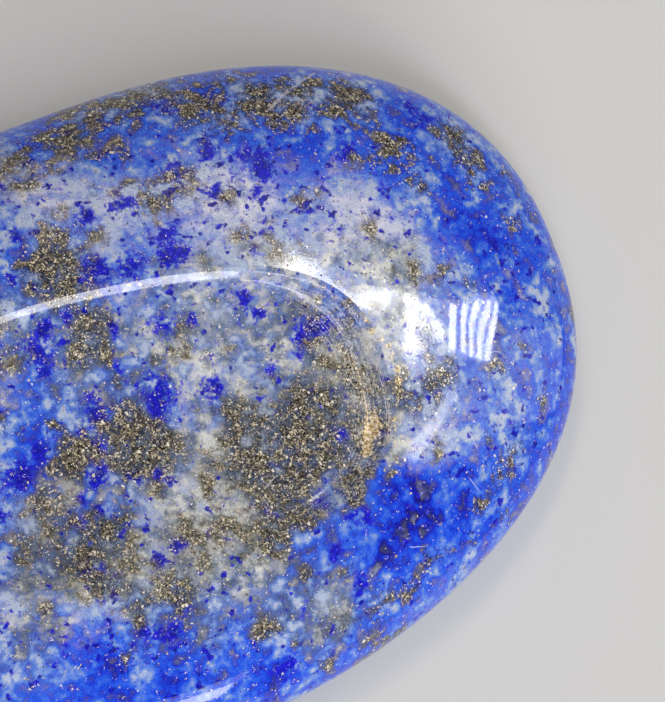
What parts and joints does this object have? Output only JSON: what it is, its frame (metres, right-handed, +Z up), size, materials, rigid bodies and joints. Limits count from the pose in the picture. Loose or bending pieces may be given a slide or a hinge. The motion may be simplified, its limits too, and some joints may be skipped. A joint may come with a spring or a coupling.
{
  "type": "polished lapis lazuli worry stone",
  "caption": "Smooth oval pocket stone with a shallow thumb hollow ground into its domed top, polished all over, resting on a small flat spot.",
  "frame": {"origin": "on the surface that the stone rests on, under the middle of its plan", "axes": "+X along the stone's length, +Y across it, +Z up through the thumb hollow"},
  "size_m": [0.047, 0.03, 0.0088],
  "materials": {
    "lapis_lazuli": "high polish"
  },
  "bodies": {
    "root": {"worry_stone": "lapis_lazuli"}
  },
  "joints": []
}
